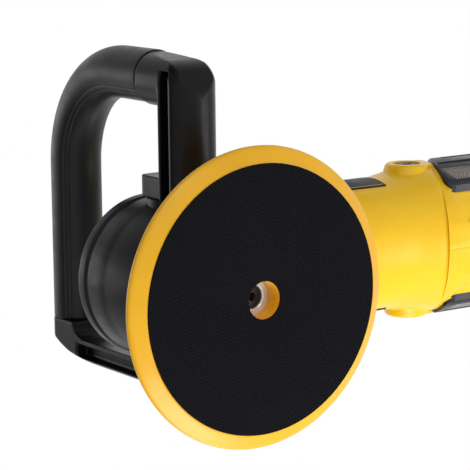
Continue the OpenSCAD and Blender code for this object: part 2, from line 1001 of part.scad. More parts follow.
module name_plates() {
    color([0.12, 0.12, 0.14])
        intersection() {
            ring_x(104, 164, motor_r + 0.8, motor_r, motor_z);
            box([104, -60, motor_z - 16], [164, 60, motor_z + 16]);
        }
}

// ---------- rear handle ----------

module handle_solid(in) {
    turned_x([[150, 0], [150, shell_r - in], [shell_cone_x, shell_r - in], [grip_x, cone_end_r - in], [grip_x, 0]]);
    bar_x(grip_x - 12, end_flange_x, grip_w - 2 * in, grip_h - 2 * in, grip_corner - in, grip_z);
    bar_x(end_flange_x - 1 - in, handle_end_x - in, grip_w + 4 - 2 * in, grip_h + 6 - 2 * in, 28 - in, grip_z);
}

// Outline of a wool shield, as a block that runs through both sides. The front edge leans with the joint.
module shield_block() {
    translate([0, 80, 0])
        rotate([90, 0, 0])
            linear_extrude(height = 160)
                polygon([[202.6, 80], [209, 97], [216, 109], [225, 121], [238, 143], [256, 148], [267, 142],
                    [267, 80], [261, 74], [208, 74], [205, 74.8], [203.1, 76.6], [202.4, 78.4]]);
}

// The wide window near the lower edge of each shield, as a block that runs through both sides.
module shield_window() {
    translate([0, 80, 0])
        rotate([90, 0, 0])
            linear_extrude(height = 160)
                polygon([[208.5, 90.5], [212.5, 78.5], [259, 78.5], [259, 90.5]]);
}

module handle_shell(side) {
    color([0.98, 0.79, 0.1])
        difference() {
            intersection() {
                union() {
                    difference() {
                        handle_solid(0);
                        handle_solid(shell_wall);
                    }
                    intersection() {
                        handle_solid(0);
                        union() {
                            // posts for the shell screws
                            for (p = shell_screw_places)
                                rod_y(p[0], -60, 60, 5.5, p[1]);
                            // posts for the trigger pin
                            for (s = [-1, 1])
                                rod_y(trigger_x, s == 1 ? 11 : -40, s == 1 ? 40 : -11, 4.5, trigger_z);
                            // rests for the switch body
                            box([320, -30, 82], [323.8, 30, 118]);
                            box([364.2, -30, 82], [368, 30, 118]);
                            // clamp round the cord inlet
                            box([407, -40, grip_z - 14], [handle_end_x, 40, grip_z + 14]);
                        }
                    }
                }
                box([0, side == 1 ? 0 : -80, 0], [big + 100, side == 1 ? 80 : 0, 200]);
            }
            front_of_seam();
            // window under the wool shields
            intersection() {
                shield_block();
                ring_x(seam_x, 300, 60, shield_in - 2, motor_z);
            }
            // shallow recesses in the underside, behind the joint
            intersection() {
                ring_x(200, 246, 60, shell_r - 1.2, motor_z);
                for (s = [-1, 1])
                    translate([206, s * 26, 50])
                        rotate([0, 0, s * 12])
                            box([0, -10, 0], [36, 10, 60]);
            }
            // screws: through holes, heads on the right side
            for (p = shell_screw_places) {
                rod_y(p[0], -14, 30, 2, p[1]);
                rod_y(p[0], 12, 60, 3.9, p[1]);
            }
            // opening for the trigger and its swing
            box([trigger_x - 7, -trigger_w / 2 - 0.5, 60], [trigger_x + trigger_len + 3.5, trigger_w / 2 + 0.5, 86.5]);
            rod_y(trigger_x, -20, 20, trigger_pin_r, trigger_z);
            // hole for the lock-on button
            rod_y(button_x, -40, -20, button_r + run_gap, button_z);
            // slot for the speed dial
            box([dial_x - 12.6, -dial_w / 2 - 0.4, 122], [dial_x + 12.6, dial_w / 2 + 0.4, 145]);
            // cord inlet
            rod_x(408.5, handle_end_x + 1, inlet_out_r - 1.5, grip_z);
            rod_x(412, 420, inlet_out_r + 2, grip_z);
            rod_x(400, 409, 5, grip_z);
            // ends of the circuit board
            box([250, -15, 111.9], [322, 15, 114.1]);
        }
}

module handle_shell_left() {
    handle_shell(-1);
}

module handle_shell_right() {
    handle_shell(1);
}

module shell_screws() {
    color([0.3, 0.3, 0.32])
        for (p = shell_screw_places) {
            rod_y(p[0], -14, 12.1, 2, p[1]);
            difference() {
                rod_y(p[0], 12, 14.6, 3.7, p[1]);
                translate([p[0], 15, p[1]])
                    rotate([90, 0, 0])
                        cylinder(r = 1.7, h = 1.8, $fn = 6);
            }
        }
}

// Curved covers over the air inlets, with long slots and a wide window.
module wool_shields() {
    color([0.13, 0.14, 0.17])
        difference() {
            intersection() {
                shield_block();
                ring_x(seam_x, 300, shield_out, shield_in, motor_z);
            }
            shield_window();
            box([212, -70, 95.5], [259, 70, 98.5]);
            box([226, -70, 108.5], [259, 70, 112]);
            box([234, -70, 119], [259, 70, 122.5]);
            box([243, -70, 130.5], [259, 70, 134]);
        }
}

module wool_meshes() {
    color([0.55, 0.53, 0.5])
        union() {
            // fine mesh that fills the window
            intersection() {
                ring_x(seam_x, 300, shield_out - 0.8, shield_in - 0.8, motor_z);
                shield_window();
            }
            // backing behind the slots
            intersection() {
                ring_x(seam_x, 300, shield_in, shield_in - 0.8, motor_z);
                shield_block();
                union() {
                    box([206, -70, 77.5], [262, 70, 93]);
                    box([216, -70, 92.5], [262, 70, 113]);
                    box([240, -70, 112], [262, 70, 136]);
                }
            }
        }
}

// Soft sleeve over the top of the grip.
module handle_overmould() {
    color([0.08, 0.08, 0.09])
        difference() {
            bar_x(332, 404, grip_w + 3, grip_h + 3, grip_corner + 1.5, grip_z);
            bar_x(330, 406, grip_w, grip_h, grip_corner, grip_z);
            box([320, -60, 40], [410, 60, grip_z + 8]);
        }
}

module trigger() {
    color([0.1, 0.1, 0.11])
        difference() {
            translate([0, trigger_w / 2, 0])
                rotate([90, 0, 0])
                    linear_extrude(height = trigger_w)
                        union() {
                            translate([trigger_x, trigger_z])
                                circle(r = 5, $fn = 48);
                            polygon([[trigger_x - 3, trigger_z - 4], [trigger_x + 2, 70],
                                [trigger_x + 10, 66.5], [trigger_x + trigger_len - 14, 64.5],
                                [trigger_x + trigger_len - 3, 62.5], [trigger_x + trigger_len, 66],
                                [trigger_x + trigger_len, 77], [trigger_x + 10, 78],
                                [trigger_x + 3, trigger_z + 4]]);
                        }
            rod_y(trigger_x, -20, 20, trigger_pin_r + run_gap, trigger_z);
        }
}

module trigger_pin() {
    color([0.7, 0.7, 0.72])
        rod_y(trigger_x, -14, 14, trigger_pin_r, trigger_z);
}

module switch_body() {
    color([0.14, 0.14, 0.15])
        difference() {
            box([323.8, -10, 86.5], [364.2, 10, 114]);
            translate([plunger_x, 0, 80])
                cylinder(r = plunger_r + run_gap, h = 22, $fn = 48);
            rod_y(button_x, -12, -4, 2.7, button_z);
        }
}

module switch_plunger() {
    color([0.85, 0.85, 0.82])
        translate([plunger_x, 0, 78.4])
            cylinder(r = plunger_r, h = 15, $fn = 48);
}

module lock_on_button() {
    color([0.1, 0.1, 0.11])
        union() {
            rod_y(button_x, -31, -23, button_r, button_z);
            rod_y(button_x, -24.6, -22.6, 6.5, button_z);
            rod_y(button_x, -23, -11, 2.5, button_z);
        }
}

module speed_dial() {
    color([0.1, 0.1, 0.11])
        translate([dial_x, 0, dial_z])
            rotate([90, 0, 0])
                union() {
                    translate([0, 0, -dial_w / 2])
                        linear_extrude(height = dial_w)
                            difference() {
                                circle(r = dial_r);
                                for (i = [0:23])
                                    rotate(i * 15)
                                        translate([dial_r - 0.7, -0.6])
                                            square([2, 1.2]);
                            }
                    translate([0, 0, -6])
                        cylinder(r = 1.5, h = 12, $fn = 48);
                }
}

module circuit_board() {
    color([0.08, 0.35, 0.16])
        difference() {
            union() {
                box([252, -14, 112], [318, 14, 114]);
                box([262, -9, 114], [284, 9, 124]);
                box([268, -8, 104], [282, 8, 112]);
                for (s = [-1, 1])
                    box([dial_x - 4, s == 1 ? 4 : -6.4, 114], [dial_x + 4, s == 1 ? 6.4 : -4, 130]);
            }
            rod_y(dial_x, -10, 10, 1.5 + run_gap, dial_z);
        }
}

// Rubber bush that lines the cable hole in the end of the handle.
module cord_inlet() {
    color([0.07, 0.07, 0.08])
        difference() {
            union() {
                rod_x(408.5, handle_end_x + 6, inlet_out_r - 1.5, grip_z);
                rod_x(412, 420, inlet_out_r + 2, grip_z);
            }
            rod_x(400, handle_end_x + 10, inlet_r, grip_z);
        }
}

// ---------- D-handle ----------

// Section of the side bar and the corner above it, rounded towards the pad.
module bar_section() {
    intersection() {
        union() {
            translate([0, bail_bar_low_z + 19])
                circle(r = 19);
            translate([-bail_bar_half, bail_bar_low_z + 19])
                square([2 * bail_bar_half, 40]);
        }
        translate([-bail_bar_half, 0])
            square([2 * bail_bar_half, bail_corner_z]);
    }
}

// The side bar and its corner seen from the front: Y across, Z up.
module bar_outline() {
    out_y = 1 - bail_reach - bail_r;
    round_r = 24;
    round_y = out_y + 3 + round_r;
    round_z = bail_bar_low_z + round_r;
    intersection() {
        translate([round_y, round_z])
            circle(r = round_r);
        translate([round_y - round_r, bail_bar_low_z])
            square([round_r, round_r]);
    }
    polygon([[out_y, bail_corner_z], [round_y - round_r, round_z], [round_y, round_z], [round_y, bail_bar_low_z],
        [-bail_foot_y, bail_bar_low_z], [-bail_foot_y, bail_bar_top_z], [out_y + 2 * bail_r, bail_bar_top_z],
        [out_y + 2 * bail_r, bail_corner_z]]);
}

// The end of the grip and the right arm: from the front, and as seen along the grip.
module arm_outline() {
    across = bail_arm_out_y - bail_grip_end_y;
    polygon(concat([for (a = [0:3.75:90])
        [bail_grip_end_y + across * sin(a), bail_z + bail_end_r - 70 * (1 - cos(a))]],
        [[bail_arm_out_y, 90], [64, 82], [bail_arm_in_y, 82], [bail_arm_in_y, bail_z - 30], [52.5, bail_z - 25],
            [49.5, bail_z - 20], [bail_grip_end_y, bail_z - 17]]));
}

module arm_section() {
    translate([0, bail_z])
        circle(r = bail_end_r);
    translate([-bail_arm_half, 60])
        square([2 * bail_arm_half, bail_z - 60]);
}

module bail_frame() {
    top_y = -(bail_reach - bail_bend);
    bend_z = bail_z - bail_bend;
    color([0.08, 0.08, 0.09])
        difference() {
            union() {
                // core of the grip, of the wide bend and of the left arm
                rod_y(0, top_y, bail_grip_end_y + 2, bail_core_r, bail_z);
                translate([0, top_y, bend_z])
                    rotate([90, 0, 90])
                        rotate(90)
                            rotate_extrude(angle = 90)
                                translate([bail_bend, 0])
                                    circle(r = bail_core_r);
                translate([0, -bail_reach, bail_corner_z - 2])
                    cylinder(r = bail_core_r, h = bend_z - bail_corner_z + 2);
                // side bar with its corner
                intersection() {
                    union() {
                        translate([0, 1 - bail_reach - bail_r + 75, 40])
                            linear_extrude(height = bail_bar_top_z - 40)
                                round_rect(2 * bail_bar_half, 150, 15.5);
                        translate([0, 1 - bail_reach, 80])
                            linear_extrude(height = 60)
                                round_rect(2 * bail_bar_half, 2 * bail_r, 15.5);
                    }
                    rotate([90, 0, 0])
                        linear_extrude(height = 200)
                            bar_section();
                    rotate([90, 0, 90])
                        translate([0, 0, -30])
                            linear_extrude(height = 60)
                                bar_outline();
                }
                // foot with the bolt hole on the left side
                translate([0, -bail_foot_y, 97.5])
                    rotate([90, 0, 0])
                        linear_extrude(height = bail_foot_out_y - bail_foot_y)
                            round_rect(29.5, 27, 4.5);
                // grip end and right arm
                intersection() {
                    translate([0, bail_arm_out_y - 35, 60])
                        linear_extrude(height = 200)
                            round_rect(2 * bail_arm_half, 70, 7);
                    rotate([90, 0, 90])
                        translate([0, 0, -30])
                            linear_extrude(height = 60)
                                arm_outline();
                    translate([0, 90, 0])
                        rotate([90, 0, 0])
                            linear_extrude(height = 90)
                                arm_section();
                }
                rod_y(0, side_boss_right_y, bail_arm_in_y + 1, side_boss_r, side_boss_z);
            }
            // soft outer corners between the side bar and the arm
            for (s = [0, 1])
                mirror([s, 0, 0])
                    rotate([0, 35, 0])
                        translate([-27.8 - 19, 1 - bail_reach - bail_r + 19.5, -80])
                            difference() {
                                translate([0, -40, 0])
                                    cube([40, 40, 260]);
                                cylinder(r = 19, h = 260);
                            }
            // channels in the front and back of the side bar
            for (s = [-1, 1])
                translate([s * (bail_bar_half + 2.5), -86, 80])
                    cube([25, 84, 9], center = true);
            // slot in the front and back of the right arm
            for (s = [-1, 1])
                translate([s * (bail_arm_half + 2), 61.7, 153])
                    cube([20, 9.4, 72], center = true);
            // bolt holes
            rod_y(0, -90, -40, bolt_r + 0.4, side_boss_z);
            rod_y(0, 40, 90, bolt_r + 0.4, side_boss_z);
            rod_y(0, -90, -bail_seat_left, bolt_head_r + 0.5, side_boss_z);
            rod_y(0, bail_seat_right, 90, bolt_head_r + 0.5, side_boss_z);
        }
}

// Rubber sleeve round the grip and the wide bend.
module bail_grip() {
    top_y = -(bail_reach - bail_bend);
    bend_z = bail_z - bail_bend;
    color([0.06, 0.06, 0.07])
        union() {
            difference() {
                rod_y(0, top_y, bail_grip_end_y - tiny, bail_r, bail_z);
                rod_y(0, top_y - 1, bail_grip_end_y + 1, bail_core_r, bail_z);
            }
            translate([0, top_y, bend_z])
                rotate([90, 0, 90])
                    rotate(90)
                        rotate_extrude(angle = 90)
                            translate([bail_bend, 0])
                                difference() {
                                    circle(r = bail_r);
                                    circle(r = bail_core_r);
                                }
            translate([0, -bail_reach, bail_corner_z])
                difference() {
                    cylinder(r = bail_r, h = bend_z - bail_corner_z);
                    translate([0, 0, -1])
                        cylinder(r = bail_core_r, h = bend_z - bail_corner_z + 2);
                }
        }
}

// A socket bolt along Y. Its head sits on the seat and points away from the gear case.
module bail_bolt(side, seat) {
    rotate([0, 0, side == 1 ? 0 : 180])
        translate([0, 0, side_boss_z])
            rotate([-90, 0, 0])
                difference() {
                    union() {
                        translate([0, 0, 29])
                            cylinder(r = bolt_r, h = seat - 28);
                        translate([0, 0, seat])
                            cylinder(r = bolt_head_r, h = 6.8);
                    }
                    translate([0, 0, seat + 3.4])
                        cylinder(r = 3.4, h = 5, $fn = 6);
                }
}

module bail_bolts() {
    color([0.3, 0.3, 0.32]) {
        bail_bolt(1, bail_seat_right + washer_t);
        bail_bolt(-1, bail_seat_left + washer_t);
    }
}

module bail_washers() {
    color([0.7, 0.7, 0.72])
        for (y = [bail_seat_right, -bail_seat_left - washer_t])
            difference() {
                rod_y(0, y, y + washer_t, bolt_head_r + 0.4, side_boss_z);
                rod_y(0, y - 1, y + 3, bolt_r, side_boss_z);
            }
}
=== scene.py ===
"""Looks of the rotary polisher: materials for the CAD nodes, soft and trimmed pieces in mesh code,
studio light and the camera. Metres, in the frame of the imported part: Z up the spindle, X back along
the motor to the rear handle, the D-handle on the -Y side."""
import json
import math

import bmesh
import bpy
from mathutils import Matrix, Vector


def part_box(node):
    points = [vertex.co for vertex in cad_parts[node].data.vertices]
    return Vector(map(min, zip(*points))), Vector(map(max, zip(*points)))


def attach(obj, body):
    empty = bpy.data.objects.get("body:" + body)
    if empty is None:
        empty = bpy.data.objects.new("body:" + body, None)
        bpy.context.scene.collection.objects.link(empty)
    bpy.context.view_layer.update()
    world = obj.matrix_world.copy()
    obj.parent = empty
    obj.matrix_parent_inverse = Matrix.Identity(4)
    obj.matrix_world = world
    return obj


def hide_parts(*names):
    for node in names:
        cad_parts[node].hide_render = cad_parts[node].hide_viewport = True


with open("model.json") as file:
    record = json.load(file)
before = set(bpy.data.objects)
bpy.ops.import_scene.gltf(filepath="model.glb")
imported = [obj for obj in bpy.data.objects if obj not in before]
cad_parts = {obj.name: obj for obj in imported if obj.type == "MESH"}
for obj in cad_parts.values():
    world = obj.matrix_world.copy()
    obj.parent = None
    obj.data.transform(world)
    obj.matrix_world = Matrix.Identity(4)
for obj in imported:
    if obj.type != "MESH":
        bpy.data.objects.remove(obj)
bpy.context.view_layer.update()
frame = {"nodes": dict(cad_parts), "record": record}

nodes = frame["nodes"]
MM = 0.001


# ---------- places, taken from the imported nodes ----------

def middle(node):
    low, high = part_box(node)
    return (low + high) / 2


motor_z = middle("armature_core").z
pad_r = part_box("pad_plate")[1].x
hook_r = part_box("hook_face")[1].x
grip_low, grip_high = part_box("bail_grip")
bail_r = grip_high.x
bail_z = grip_high.z - bail_r
bail_arm_y = grip_low.y + bail_r


# ---------- node materials ----------

def new_material(name):
    made = bpy.data.materials.new(name)
    made.use_nodes = True
    tree = made.node_tree
    return made, tree, tree.nodes["Principled BSDF"]


def add(tree, kind, **values):
    """A node with its plain inputs or properties set by name."""
    node = tree.nodes.new(kind)
    for key, value in values.items():
        if hasattr(node, key):
            setattr(node, key, value)
        else:
            node.inputs[key.replace("_", " ").title()].default_value = value
    return node


def object_position(tree):
    return add(tree, "ShaderNodeTexCoord").outputs["Object"]


def noise(tree, where, scale, detail=3.0, rough=0.55):
    node = add(tree, "ShaderNodeTexNoise")
    node.inputs["Scale"].default_value = scale
    node.inputs["Detail"].default_value = detail
    node.inputs["Roughness"].default_value = rough
    tree.links.new(where, node.inputs["Vector"])
    return node.outputs["Fac"]


def ramp(tree, value, stops):
    """A colour ramp. Each stop is a place and a colour or a grey."""
    node = add(tree, "ShaderNodeValToRGB")
    bar = node.color_ramp
    while len(bar.elements) < len(stops):
        bar.elements.new(0.5)
    for element, (place, shade) in zip(bar.elements, stops):
        element.position = place
        element.color = (shade, shade, shade, 1) if isinstance(shade, float) else (*shade, 1)
    tree.links.new(value, node.inputs["Fac"])
    return node.outputs["Color"]


def bump(tree, shader, height, strength, depth, before=None):
    node = add(tree, "ShaderNodeBump")
    node.inputs["Strength"].default_value = strength
    node.inputs["Distance"].default_value = depth
    tree.links.new(height, node.inputs["Height"])
    if before:
        tree.links.new(before.outputs["Normal"], node.inputs["Normal"])
    tree.links.new(node.outputs["Normal"], shader.inputs["Normal"])
    return node


def shades(colour, spread):
    """A darker and a lighter version of a colour."""
    return [tuple(min(1.0, c * (1 + s * spread)) for c in colour) for s in (-1, 1)]


def moulded(name, colour, rough, grain_mm=0.45, grain=0.12, spread=0.05, coat=0.0, specular=0.5):
    """Moulded plastic or rubber: faint colour drift, uneven gloss and the fine grain of the tool."""
    made, tree, shader = new_material(name)
    where = object_position(tree)
    dark, light = shades(colour, spread)
    drift = noise(tree, where, 28.0, 4.0)
    tree.links.new(ramp(tree, drift, [(0.3, dark), (0.7, light)]), shader.inputs["Base Color"])
    gloss = noise(tree, where, 90.0, 5.0)
    tree.links.new(ramp(tree, gloss, [(0.3, max(0.05, rough - 0.06)), (0.75, min(1.0, rough + 0.07))]),
                   shader.inputs["Roughness"])
    shader.inputs["Specular IOR Level"].default_value = specular
    shader.inputs["Coat Weight"].default_value = coat
    shader.inputs["Coat Roughness"].default_value = 0.22
    fine = noise(tree, where, 1000.0 / grain_mm, 2.0)
    bump(tree, shader, fine, grain, 0.0001)
    return made


METAL_SPREAD = 0.06


def metal(name, colour, rough, lines_mm=0.0, axis="X", metallic=1.0):
    """Bare metal. Turned parts show fine lines round their axis; castings show a coarse skin."""
    made, tree, shader = new_material(name)
    where = object_position(tree)
    dark, light = shades(colour, METAL_SPREAD)
    drift = noise(tree, where, 160.0, 4.0)
    tree.links.new(ramp(tree, drift, [(0.3, dark), (0.7, light)]), shader.inputs["Base Color"])
    tree.links.new(ramp(tree, drift, [(0.25, max(0.05, rough - 0.08)), (0.8, rough + 0.1)]),
                   shader.inputs["Roughness"])
    shader.inputs["Metallic"].default_value = metallic
    if lines_mm:
        wave = add(tree, "ShaderNodeTexWave", wave_type="BANDS", bands_direction=axis)
        wave.inputs["Scale"].default_value = 1000.0 / lines_mm / 20.0
        wave.inputs["Distortion"].default_value = 1.5
        wave.inputs["Detail"].default_value = 2.0
        tree.links.new(where, wave.inputs["Vector"])
        bump(tree, shader, wave.outputs["Fac"], 0.12, 0.0001)
    else:
        bump(tree, shader, noise(tree, where, 900.0, 4.0), 0.18, 0.0002)
    return made


GRID_TURN = math.radians(45)


def dotted(name, pitch_mm, valley, tip, rough, height, metallic=0.0, specular=0.5):
    """A close grid of hooks, threads or wires, turned about Z."""
    made, tree, shader = new_material(name)
    where = object_position(tree)
    turned = add(tree, "ShaderNodeMapping")
    turned.inputs["Rotation"].default_value = (0, 0, GRID_TURN)
    tree.links.new(where, turned.inputs["Vector"])
    grid = add(tree, "ShaderNodeTexVoronoi", feature="F1")
    grid.inputs["Scale"].default_value = 1000.0 / pitch_mm
    grid.inputs["Randomness"].default_value = 0.12
    tree.links.new(turned.outputs["Vector"], grid.inputs["Vector"])
    patch = noise(tree, where, 40.0, 4.0)
    shade = ramp(tree, grid.outputs["Distance"], [(0.05, tip), (0.45, valley)])
    uneven = ramp(tree, patch, [(0.3, 0.8), (0.75, 1.0)])
    mixed = add(tree, "ShaderNodeMix", data_type="RGBA", blend_type="MULTIPLY")
    mixed.inputs["Factor"].default_value = 1.0
    tree.links.new(shade, mixed.inputs["A"])
    tree.links.new(uneven, mixed.inputs["B"])
    tree.links.new(mixed.outputs["Result"], shader.inputs["Base Color"])
    tree.links.new(ramp(tree, patch, [(0.2, rough - 0.08), (0.8, rough + 0.05)]), shader.inputs["Roughness"])
    shader.inputs["Metallic"].default_value = metallic
    shader.inputs["Specular IOR Level"].default_value = specular
    hills = ramp(tree, grid.outputs["Distance"], [(0.0, 1.0), (0.6, 0.0)])
    bump(tree, shader, hills, 0.7, height)
    return made


YELLOW = (0.94, 0.56, 0.006)
BLACK = (0.0035, 0.0035, 0.0045)
MATERIALS = {
    "hook_fabric": dotted("hook_fabric", 1.5, (0.0005, 0.0005, 0.001), (0.017, 0.0165, 0.024), 0.8, 0.0005,
                          specular=0.08),
    "pad_rubber": moulded("pad_rubber", (0.84, 0.43, 0.002), 0.36, 0.6, 0.08, 0.05, coat=0.2, specular=0.4),
    "steel": metal("steel", (0.80, 0.86, 0.98), 0.16, 0.4, "Z", metallic=0.5),
    "steel_dark": metal("steel_dark", (0.035, 0.035, 0.04), 0.42, 0.5, "Z"),
    "bearing_steel": metal("bearing_steel", (0.62, 0.62, 0.64), 0.16, 0.3, "X"),
    "gear_steel": metal("gear_steel", (0.32, 0.32, 0.34), 0.3),
    "cast_metal": metal("cast_metal", (0.42, 0.43, 0.45), 0.42),
    "screw_black": metal("screw_black", (0.07, 0.07, 0.075), 0.35),
    "boot_rubber": moulded("boot_rubber", (0.005, 0.005, 0.006), 0.4, 0.5, 0.12, 0.1, specular=0.34),
    "lock_red": moulded("lock_red", (0.45, 0.012, 0.008), 0.4),
    "spring_steel": metal("spring_steel", (0.5, 0.5, 0.52), 0.25),
    "core_iron": metal("core_iron", (0.16, 0.16, 0.17), 0.4, 0.7, "X"),
    "winding_copper": metal("winding_copper", (0.5, 0.16, 0.04), 0.3, 0.8, "X"),
    "commutator_copper": metal("commutator_copper", (0.62, 0.27, 0.1), 0.25, 0.3, "X"),
    "fan_plastic": moulded("fan_plastic", (0.02, 0.02, 0.022), 0.5),
    "housing_yellow": moulded("housing_yellow", YELLOW, 0.34, 0.5, 0.08, 0.03, coat=0.1, specular=0.4),
    "brass": metal("brass", (0.60, 0.38, 0.10), 0.28, 0.4, "Y"),
    "carbon": moulded("carbon", (0.02, 0.02, 0.022), 0.7, 0.3, 0.3),
    "black_plastic": moulded("black_plastic", BLACK, 0.34, 0.5, 0.08, 0.1, specular=0.22),
    "plate_dark": moulded("plate_dark", (0.006, 0.005, 0.007), 0.5, 0.8, 0.04, 0.1, specular=0.2),
    "shield_plastic": moulded("shield_plastic", (0.012, 0.013, 0.019), 0.40, 0.5, 0.10, 0.1, specular=0.45),
    "mesh_metal": dotted("mesh_metal", 1.5, (0.16, 0.14, 0.12), (0.85, 0.80, 0.72), 0.4, 0.0004, 0.3),
    "grip_rubber": moulded("grip_rubber", (0.005, 0.005, 0.006), 0.42, 0.5, 0.10, 0.1, specular=0.34),
    "pale_plastic": moulded("pale_plastic", (0.62, 0.62, 0.6), 0.4),
    "board_green": moulded("board_green", (0.012, 0.09, 0.03), 0.35, 1.5, 0.2, 0.15, coat=0.3),
}
GOLD_LINE = moulded("plate_border", (0.62, 0.42, 0.06), 0.35, 0.5, 0.05)
slot_of = {row["node"]: row["material_slot"] for row in frame["record"]["subparts"]}
for name, node in nodes.items():
    node.data.materials.clear()
    node.data.materials.append(MATERIALS[slot_of[name]])


# ---------- soft edges on the CAD nodes ----------

SAME_POINT = 0.000005
EDGE_ANGLE = math.radians(28)


def soften(name, width_mm):
    """Rounds the sharp edges of a CAD node with modifiers. Its own mesh stays as packed."""
    node = nodes[name]
    weld = node.modifiers.new("weld", "WELD")
    weld.merge_threshold = SAME_POINT
    bevel = node.modifiers.new("edges", "BEVEL")
    bevel.limit_method = "ANGLE"
    bevel.angle_limit = EDGE_ANGLE
    bevel.width = width_mm * MM
    bevel.segments = 2
    bevel.use_clamp_overlap = False
    bevel.harden_normals = True


def roll_edges(name, grain_mm, rounds):
    """Rolls every edge of a CAD node over a little, with a fine remesh that is relaxed, then thinned."""
    node = nodes[name]
    weld = node.modifiers.new("weld", "WELD")
    weld.merge_threshold = SAME_POINT
    grain = node.modifiers.new("grain", "REMESH")
    grain.mode = "VOXEL"
    grain.voxel_size = grain_mm * MM
    grain.use_smooth_shade = True
    relax = node.modifiers.new("relax", "SMOOTH")
    relax.factor = 0.5
    relax.iterations = rounds
    thin = node.modifiers.new("thin", "DECIMATE")
    thin.ratio = 0.3


roll_edges("bail_frame", 0.6, 14)
SOFT_EDGES = {"motor_housing": 0.2, "handle_shell_left": 0.2, "handle_shell_right": 0.2,
              "wool_shields": 0.5, "gear_case": 0.5, "nose_cover": 0.5, "trigger": 0.8, "lock_on_button": 0.2,
              "lock_button": 0.3, "brush_caps": 0.3, "bail_bolts": 0.3, "name_plates": 0.15,
              "pad_insert": 0.2, "spindle": 0.15}
for name, width in SOFT_EDGES.items():
    soften(name, width)


# ---------- mesh code ----------

def finish_mesh(name, vertices, faces, slot, sharp=40.0):
    mesh = bpy.data.meshes.new(name)
    mesh.from_pydata([tuple(v) for v in vertices], [], faces)
    work = bmesh.new()
    work.from_mesh(mesh)
    bmesh.ops.recalc_face_normals(work, faces=work.faces)
    work.to_mesh(mesh)
    work.free()
    for face in mesh.polygons:
        face.use_smooth = True
    mesh.set_sharp_from_angle(angle=math.radians(sharp))
    made = bpy.data.objects.new(name, mesh)
    bpy.context.scene.collection.objects.link(made)
    made.data.materials.append(MATERIALS[slot])
    return made


def round_corners(points, radius, steps=4):
    """A closed outline with its corners rounded. Radius is one number, or one for each point."""
    out = []
    count = len(points)
    for i, p in enumerate(points):
        r = radius[i] if isinstance(radius, (list, tuple)) else radius
        here = Vector(p)
        before = Vector(points[i - 1]) - here
        after = Vector(points[(i + 1) % count]) - here
        reach = min(r, before.length * 0.45, after.length * 0.45)
        if reach <= 0:
            out.append(tuple(here))
            continue
        start = here + before.normalized() * reach
        end = here + after.normalized() * reach
        for k in range(steps + 1):
            t = k / steps
            out.append(tuple(start * (1 - t) ** 2 + here * 2 * t * (1 - t) + end * t ** 2))
    return out


ROUND_STEPS = 240


def lathe(name, outline, slot, sharp=40.0):
    """Turns a closed outline of radius and height, in metres, round the Z axis."""
    vertices, faces = [], []
    count = len(outline)
    for k in range(ROUND_STEPS):
        a = 2 * math.pi * k / ROUND_STEPS
        vertices += [(r * math.cos(a), r * math.sin(a), z) for r, z in outline]
    for k in range(ROUND_STEPS):
        for i in range(count):
            j = (i + 1) % count
            nxt = (k + 1) % ROUND_STEPS
            faces.append((k * count + i, k * count + j, nxt * count + j, nxt * count + i))
    return finish_mesh(name, vertices, faces, slot, sharp)


def sweep(name, stations, section, slot, sharp=40.0):
    """Runs a closed section along stations of (place, side axis, out axis, scale), with closed ends."""
    vertices, faces = [], []
    count = len(section)
    for place, side, out, scale in stations:
        vertices += [place + side * (u * scale) + out * (v * scale) for u, v in section]
    for k in range(len(stations) - 1):
        for i in range(count):
            j = (i + 1) % count
            faces.append((k * count + i, k * count + j, (k + 1) * count + j, (k + 1) * count + i))
    faces.append(tuple(range(count)))
    faces.append(tuple(range((len(stations) - 1) * count, len(stations) * count)))
    return finish_mesh(name, vertices, faces, slot, sharp)


# ---------- backing pad ----------

def mm(points):
    return [(x * MM, y * MM) for x, y in points]


# In millimetres: the pad's rim, its hook face, its bore, and the insert's body and flange that it wraps.
rim = pad_r / MM
hook = hook_r / MM
bore_r = 11.3
insert_r = 11.0
flange_r = 17.0
pad_outline = mm([
    (bore_r, 1.25), (hook - 1.6, 1.25), (hook + 0.35, 1.05), (hook + 1.5, 1.5), (hook + 4.5, 3.2),
    (hook + 7.6, 5.0), (rim - 0.9, 5.9), (rim, 7.0), (rim, 8.6), (rim - 1.2, 10.0), (rim - 4, 10.9),
    (74, 12.2), (60, 13.9), (46, 15.9), (36, 18.2), (28, 20.9), (25, 22.6), (23.4, 26.0), (22.4, 27),
    (11.6, 27), (11, 26.6), (insert_r, 19), (flange_r, 19), (flange_r, 16), (insert_r, 16), (insert_r, 12.5),
    (bore_r, 12.5)])
pad_rounding = [0.3] + [0.8] * 4 + [2.0] * 2 + [1.0] * 3 + [1.5] * 6 + [0.8] * 4 + [0.0] * 7
pad_edge = round_corners(pad_outline, [r * MM for r in pad_rounding])
pad_body = lathe("backing_pad", pad_edge, "pad_rubber", sharp=50)
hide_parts("pad_plate")
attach(pad_body, "spindle_and_pad")

hook_outline = mm([(bore_r, 0.0), (hook, 0.0), (hook, 1.2), (bore_r, 1.2)])
hook_edge = round_corners(hook_outline, [r * MM for r in (0.3, 0.45, 0.2, 0.2)], 3)
hook_sheet = lathe("hook_sheet", hook_edge, "hook_fabric")
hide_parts("hook_face")
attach(hook_sheet, "spindle_and_pad")


# ---------- D-handle sleeve ----------

GROOVE_DEPTH = 0.45 * MM
GROOVE_HALF_WIDTH = 2.6  # degrees of the sleeve's round
SECTION_STEP = 1.5  # degrees


